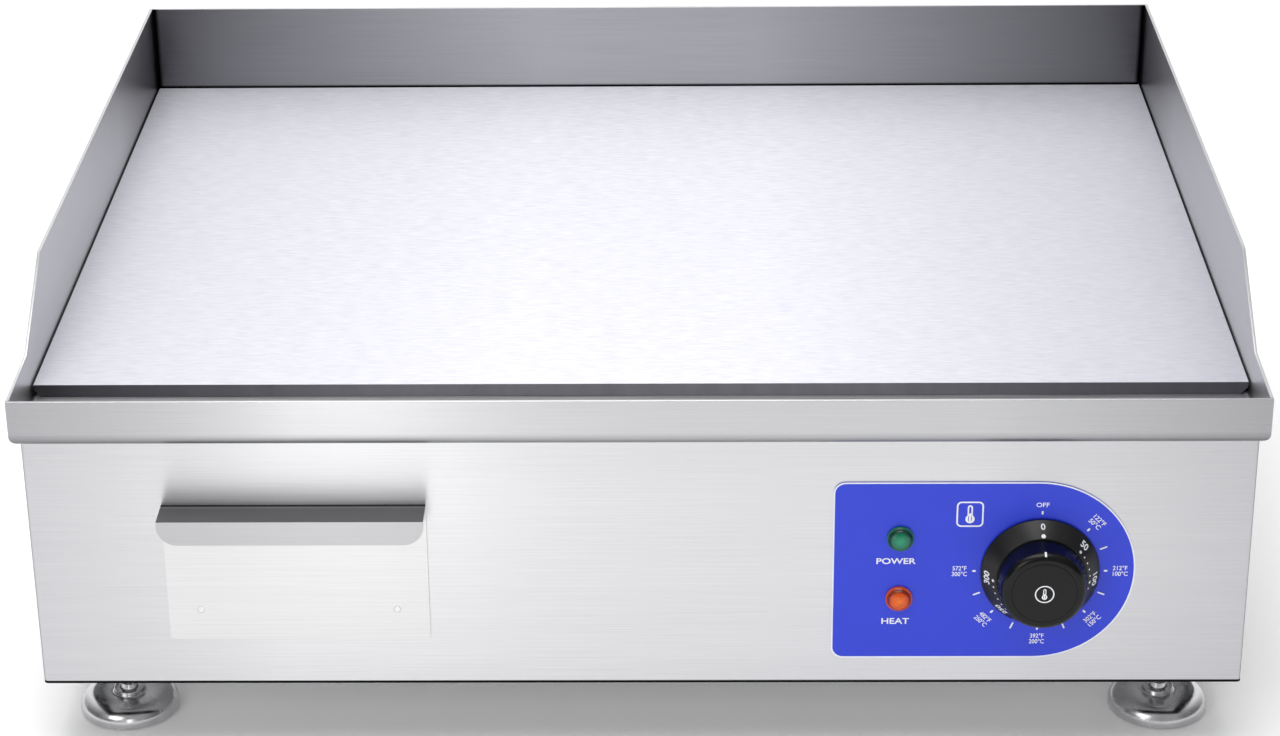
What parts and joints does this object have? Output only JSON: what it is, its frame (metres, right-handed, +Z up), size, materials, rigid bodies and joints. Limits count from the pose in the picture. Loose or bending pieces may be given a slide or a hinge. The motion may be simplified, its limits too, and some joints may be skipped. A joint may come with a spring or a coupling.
{
  "type": "electric griddle",
  "caption": "Countertop electric griddle: a steel plate in a splash-guarded tray with a front grease trough, over a casing with drawer, thermostat dial, two lamps and levelling feet.",
  "frame": {"origin": "middle of the whole object's box, on the surface it stands on", "axes": "+X to the right seen from the front, +Y towards the splashback, +Z up"},
  "size_m": [0.55, 0.465, 0.2125],
  "materials": {
    "brushed_stainless": "brushed stainless sheet",
    "griddle_steel": "ground and polished steel plate",
    "zinc_steel": "zinc-plated steel",
    "polished_steel": "polished steel",
    "element_sheath": "dark heat-oxidised sheath",
    "ceramic": "ceramic and fibre board",
    "brass": "turned brass",
    "copper": "drawn copper",
    "blue_fascia": "printed polycarbonate",
    "green_lens": "translucent green",
    "orange_lens": "translucent orange",
    "black_plastic": "moulded black phenolic",
    "white_plastic": "moulded",
    "rubber": "moulded rubber",
    "lead_brown": "sleeved lead",
    "lead_black": "sleeved lead",
    "lead_blue": "sleeved lead"
  },
  "bodies": {
    "body": {"casing": "brushed_stainless", "rear_panel": "brushed_stainless", "base_plate": "brushed_stainless", "top_tray": "brushed_stainless", "griddle_plate": "griddle_steel", "drain_spout": "brushed_stainless", "heating_element_left": "element_sheath", "heating_element_right": "element_sheath", "element_clamps": "brushed_stainless", "plate_studs": "zinc_steel", "stud_nuts": "zinc_steel", "heat_shield": "brushed_stainless", "insulation_board": "ceramic", "thermostat": "ceramic", "thermostat_screws": "zinc_steel", "capillary_tube": "copper", "sensing_bulb": "copper", "bulb_clip": "brushed_stainless", "fascia": "blue_fascia", "power_lens": "green_lens", "heat_lens": "orange_lens", "lamp_bodies": "white_plastic", "lamp_nuts": "black_plastic", "terminal_block": "ceramic", "terminal_screws": "brass", "earth_stud": "brass", "cable_gland": "black_plastic", "gland_nut": "black_plastic", "drawer_runners": "brushed_stainless", "tray_studs": "zinc_steel", "tray_nuts": "zinc_steel", "rear_screws": "zinc_steel", "base_screws": "zinc_steel", "foot_inserts": "zinc_steel", "lead_live": "lead_brown", "lead_switched": "lead_black", "lead_neutral": "lead_blue"},
    "drawer": {"drawer_pan": "brushed_stainless", "drawer_front": "brushed_stainless", "drawer_rivets": "zinc_steel"},
    "knob": {"control_shaft": "zinc_steel", "knob_skirt": "black_plastic", "knob_grip": "black_plastic", "knob_cap": "black_plastic"},
    "foot_fl": {"foot_bell_fl": "polished_steel", "foot_pad_fl": "rubber"},
    "foot_screw_fl": {"foot_stem_fl": "polished_steel"},
    "foot_fr": {"foot_bell_fr": "polished_steel", "foot_pad_fr": "rubber"},
    "foot_screw_fr": {"foot_stem_fr": "polished_steel"},
    "foot_rl": {"foot_bell_rl": "polished_steel", "foot_pad_rl": "rubber"},
    "foot_screw_rl": {"foot_stem_rl": "polished_steel"},
    "foot_rr": {"foot_bell_rr": "polished_steel", "foot_pad_rr": "rubber"},
    "foot_screw_rr": {"foot_stem_rr": "polished_steel"}
  },
  "joints": [
    {"name": "knob_turn", "type": "hinge", "parent": "body", "child": "knob", "pos_m": [0.1785, -0.211, 0.0927], "axis": [0, 1, 0], "range_deg": [0, 270]},
    {"name": "drawer_slide", "type": "slide", "parent": "body", "child": "drawer", "axis": [0, -1, 0], "range_m": [0, 0.25]},
    {"name": "foot_fl_height", "type": "slide", "parent": "body", "child": "foot_fl", "axis": [0, 0, -1], "range_m": [0, 0.005]},
    {"name": "foot_fl_turn", "type": "hinge", "parent": "foot_fl", "child": "foot_screw_fl", "pos_m": [-0.241, -0.1725, 0.02], "axis": [0, 0, 1], "range_deg": [0, 1440]},
    {"name": "foot_fr_height", "type": "slide", "parent": "body", "child": "foot_fr", "axis": [0, 0, -1], "range_m": [0, 0.005]},
    {"name": "foot_fr_turn", "type": "hinge", "parent": "foot_fr", "child": "foot_screw_fr", "pos_m": [0.241, -0.1725, 0.02], "axis": [0, 0, 1], "range_deg": [0, 1440]},
    {"name": "foot_rl_height", "type": "slide", "parent": "body", "child": "foot_rl", "axis": [0, 0, -1], "range_m": [0, 0.005]},
    {"name": "foot_rl_turn", "type": "hinge", "parent": "foot_rl", "child": "foot_screw_rl", "pos_m": [-0.241, 0.1705, 0.02], "axis": [0, 0, 1], "range_deg": [0, 1440]},
    {"name": "foot_rr_height", "type": "slide", "parent": "body", "child": "foot_rr", "axis": [0, 0, -1], "range_m": [0, 0.005]},
    {"name": "foot_rr_turn", "type": "hinge", "parent": "foot_rr", "child": "foot_screw_rr", "pos_m": [0.241, 0.1705, 0.02], "axis": [0, 0, 1], "range_deg": [0, 1440]}
  ],
  "couplings": [
    {"joint": "foot_fl_turn", "follows": "foot_fl_height", "rad_per_m": 5026},
    {"joint": "foot_fr_turn", "follows": "foot_fr_height", "rad_per_m": 5026},
    {"joint": "foot_rl_turn", "follows": "foot_rl_height", "rad_per_m": 5026},
    {"joint": "foot_rr_turn", "follows": "foot_rr_height", "rad_per_m": 5026}
  ]
}
